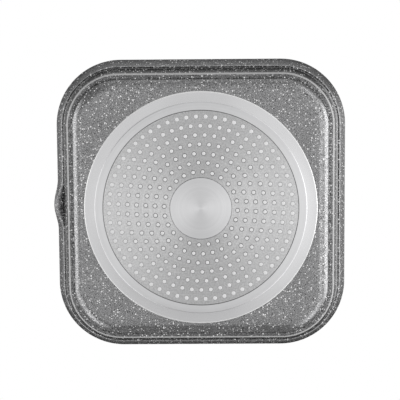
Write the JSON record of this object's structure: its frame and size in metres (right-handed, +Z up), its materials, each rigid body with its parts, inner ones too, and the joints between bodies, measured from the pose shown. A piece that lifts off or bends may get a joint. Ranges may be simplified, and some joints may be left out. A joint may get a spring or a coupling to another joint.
{
  "type": "grill pan",
  "caption": "Square cast grill pan with a flared lip, pouring spout and ribbed floor, on a turned sole with a perforated induction plate, without its clip-on handle.",
  "frame": {"origin": "centre of the sole's flat underside, on the surface that the pan stands on", "axes": "+Z up out of the pan, -X towards the pouring spout, Y along the grill ribs"},
  "size_m": [0.2835, 0.28, 0.046],
  "materials": {
    "stone_coating": "dark grey stone-effect non-stick coating with pale speckles, satin",
    "turned_aluminium": "bare, turned, with fine concentric lines",
    "induction_steel": "bare ferritic steel, turned"
  },
  "bodies": {
    "root": {"pan_body": "stone_coating", "base_disc": "turned_aluminium", "induction_plate": "induction_steel"}
  },
  "joints": []
}
